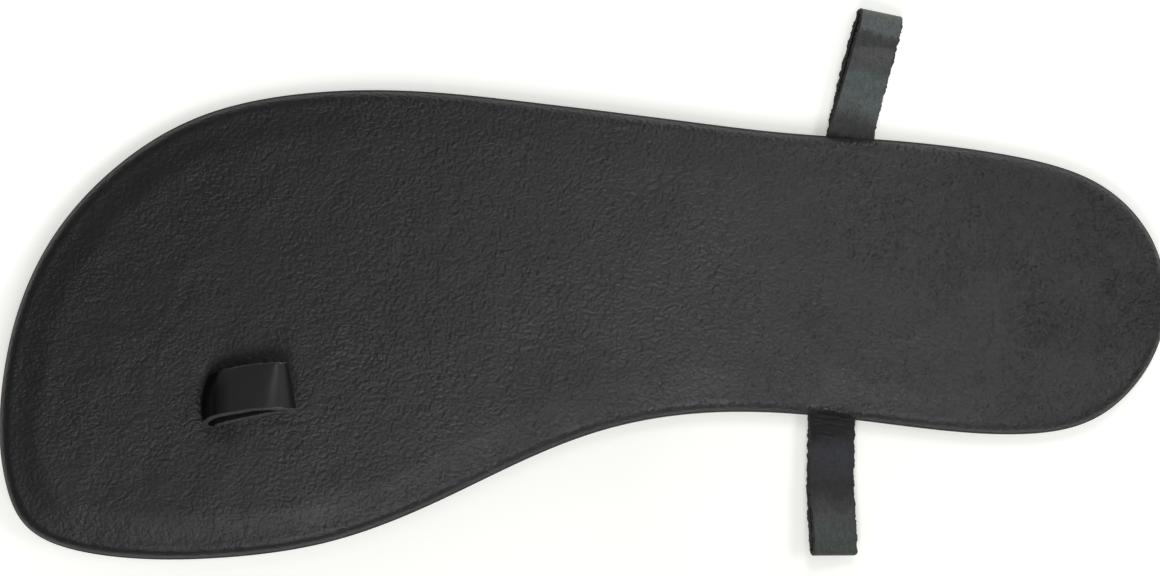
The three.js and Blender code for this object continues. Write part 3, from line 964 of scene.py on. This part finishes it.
def catmull(rows, t):
    """A curve through even rows, and its slope."""
    rows = np.array(rows)
    last = len(rows) - 1
    k = min(int(t * last), last - 1)
    u = t * last - k
    b, c = rows[k], rows[k + 1]
    a = rows[k - 1] if k > 0 else 2 * b - c
    d = rows[k + 2] if k + 2 <= last else 2 * c - b
    slope_b, slope_c = (c - a) / 2, (d - b) / 2
    cube = 2 * (b - c) + slope_b + slope_c
    square = -3 * (b - c) - 2 * slope_b - slope_c
    return b + u * (slope_b + u * (square + u * cube)), slope_b + u * (2 * square + u * 3 * cube)


def unit(vector):
    return vector / np.linalg.norm(vector)


def loop_stations(strip, rows, start, base, reach, rise, roll):
    """Both plies and the fold: middle, way of the width, way of the outer face, and bow."""
    centre, out, across = (np.array([*strip[key], 0]) for key in ("centre", "out", "across"))
    up = np.array([0, 0, 1.0])
    handed = np.sign(np.cross(across, out)[2])
    spots = [start]
    forms = []
    for row in rows:
        outward, upward, drift, gap, rolled, slip, bow = row
        spot = centre + out * outward * reach + across * drift * STRIP_WIDTH
        spots.append(spot + up * (base + upward * rise))
        forms.append((gap * STRIP_THICKNESS, rolled * roll, slip * STRIP_WIDTH, bow * STRIP_THICKNESS))
    forms = [forms[0], *forms]
    upper, lower, fold = [], [], []
    for t in np.linspace(0, 1, PLY_STEPS):
        place, tangent = catmull(spots, t)
        gap, degrees, slip, bow = catmull(forms, t)[0]
        tangent = unit(tangent)
        level = unit(across - across @ tangent * tangent)
        above = np.cross(level, tangent) * handed
        angle = math.radians(degrees)
        width = level * math.cos(angle) + above * math.sin(angle)
        face = above * math.cos(angle) - level * math.sin(angle)
        apart = (STRIP_THICKNESS + gap) / 2
        upper.append((place + face * apart, width, face, bow))
        lower.append((place - face * apart + width * slip, width, -face, -bow))
    # The fold turns round the end of the last station
    for share in np.linspace(0, 1, FOLD_STEPS)[1:-1]:
        angle = math.pi * share
        turned = face * math.cos(angle) + tangent * math.sin(angle)
        fold.append((place + turned * apart, width, turned, 0))
    return upper + fold + lower[::-1]


def toe_tail(side):
    """One ply's turn under the board and its hidden end."""
    out = np.array([*TOE_FRAME["out"], 0])
    across = np.array([*TOE_FRAME["across"], 0])
    radius = STRIP_THICKNESS / 2 + JOIN_GAP
    made = []
    for angle in np.linspace(0, QUARTER, TURN_STEPS + 1)[1:]:
        middle = np.array([*TOE_PLACE, MARGIN_SEAT - radius * math.sin(angle)])
        middle += out * side * ((STRIP_THICKNESS + GLUE_GAP) / 2 + radius * (1 - math.cos(angle)))
        face = out * side * math.cos(angle) + np.array([0, 0, math.sin(angle)])
        made.append((middle, across, face, 0))
    end = np.array([*(TOE_PLACE + out[:2] * side * TOE_TAIL), middle[2]])
    return made + [(end, across, face, 0)]


# What a corner of a strip's section belongs to
SURFACE, RAW = range(2)

# Places in a strip's list of materials
GRAIN_SIDE, RAW_EDGE, INSIDE = range(3)


def strip_section(strip_width):
    """Corners round the strip: place across, depth and what they belong to."""
    half_width, half_thick = strip_width / 2, STRIP_THICKNESS / 2
    flat = half_width - STRIP_BEVEL
    top = [(w, half_thick, SURFACE) for w in np.linspace(flat, -flat, TOP_COLUMNS)]
    side = np.linspace(half_thick - STRIP_BEVEL, STRIP_BEVEL - half_thick, EDGE_COLUMNS)
    edge = [(-half_width, depth, RAW) for depth in side]
    return top + edge + [(-w, -d, kind) for w, d, kind in top + edge]


def strip_piece(name, stations, strip_width, materials, ragged):
    """One closed strip along the stations; materials are for its grain side, edges and inside."""
    section = strip_section(strip_width)
    count = len(section)
    middles, widths, outward, bows = (np.array(column) for column in zip(*stations))
    side, depth, kind = (np.array(column) for column in zip(*section))
    points = middles[:, None] + widths[:, None] * side[:, None] + outward[:, None] * depth[:, None]
    hump = bows[:, None] * (1 - (2 * side / strip_width) ** 2)
    points += outward[:, None] * hump[:, :, None]
    lift_waves, lift_share = FRAY_LIFT
    for number, corner in np.argwhere(np.broadcast_to(kind == RAW, points.shape[:2])):
        spot = Vector(points[number, corner])
        wobble = sum(share * noise.noise(spot * waves) for waves, share in FRAYS)
        points[number, corner] += widths[number] * math.copysign(ragged, side[corner]) * wobble
        lift = lift_share * ragged * noise.noise(spot * lift_waves)
        points[number, corner] += outward[number] * lift
    points = points.reshape(-1, 3)
    upward = np.repeat(outward[:, 2] > CREASED_FROM, count)
    upward &= np.tile((depth > 0) & (kind == SURFACE), len(stations))
    points[upward, 2] += crease_relief(points[upward, :2], STRIP_CREASES)
    points[:, 2] += spring_at(points[:, 0])
    faces = []
    marks = []
    for number in range(len(stations) - 1):
        for corner in range(count):
            after = (corner + 1) % count
            a, b = number * count + corner, number * count + after
            faces.append((a, b, b + count, a + count))
            if RAW in (kind[corner], kind[after]):
                marks.append(RAW_EDGE)
            else:
                marks.append(INSIDE if depth[corner] < 0 else GRAIN_SIDE)
    last = (len(stations) - 1) * count
    faces += [tuple(range(count)), tuple(range(last, last + count))]
    marks += [RAW_EDGE, RAW_EDGE]
    made = mesh_object(name, points, faces)
    for material in materials:
        made.data.materials.append(material)
    for polygon, mark in zip(made.data.polygons, marks):
        polygon.material_index = mark
    merge_and_face_out(made)
    smooth_by_angle(made, STRIP_SMOOTH_DEGREES)
    return made


def toe_loop(materials):
    start = np.array([*TOE_PLACE, MARGIN_SEAT])
    loop = loop_stations(TOE_FRAME, TOE_ROWS, start, FOOTBED_TOP, TOE_REACH, TOE_RISE, TOE_ROLL_DEGREES)
    stations = toe_tail(-1)[::-1] + loop + toe_tail(1)
    return strip_piece("toe_strip", stations, TOE_STRIP_WIDTH, materials, TOE_RAGGED)


def heel_loop(name, strip, rows, reach, roll, materials):
    start = np.array([*(strip["centre"] - strip["out"] * HEEL_TAIL), HEEL_SEAT])
    stations = loop_stations(strip, rows, start, HEEL_SEAT, reach, HEEL_RISE, roll)
    return strip_piece(name, stations, STRIP_WIDTH, materials, HEEL_RAGGED)


def add_piece(made, slot, *nodes):
    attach(made, "root")
    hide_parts(*nodes)


camera()
studio()

cover = footbed_cover()
cover.data.materials.append(footbed_leather())
add_piece(cover, "footbed_leather", "footbed_cover")

sole = outsole()
sole.data.materials.append(rubber())
add_piece(sole, "outsole", "outsole")

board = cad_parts["insole_board"]
board_material = fibre_board()
if board.material_slots:
    board.material_slots[0].material = board_material
else:
    board.data.materials.append(board_material)

# The strips' flesh side is painted near black as the shade between the plies
inside = raw_leather("strip_inside_painted_shade", *INSIDE_FIBRES_IN_PAINTED_SHADE)
toe_edge = raw_leather("toe_raw_edge", *TOE_EDGE_FIBRES)
toe = toe_loop([toe_leather(), toe_edge, inside])
add_piece(toe, "strip_leather", "toe_loop")

heel_edge = raw_leather("heel_raw_edge", *HEEL_EDGE_FIBRES)
medial_leather = heel_leather("inner_strip_leather", MEDIAL_FRAME, MEDIAL_TONES_AND_PAINTED_LIGHT)
medial = heel_loop("inner_strip", MEDIAL_FRAME, MEDIAL_ROWS, MEDIAL_REACH, MEDIAL_ROLL_DEGREES,
                   [medial_leather, heel_edge, inside])
add_piece(medial, "strip_leather", "heel_loop_medial")
lateral_leather = heel_leather("outer_strip_leather", LATERAL_FRAME, LATERAL_TONES_AND_PAINTED_LIGHT)
lateral = heel_loop("outer_strip", LATERAL_FRAME, LATERAL_ROWS, LATERAL_REACH, LATERAL_ROLL_DEGREES,
                    [lateral_leather, heel_edge, inside])
add_piece(lateral, "strip_leather", "heel_loop_lateral")
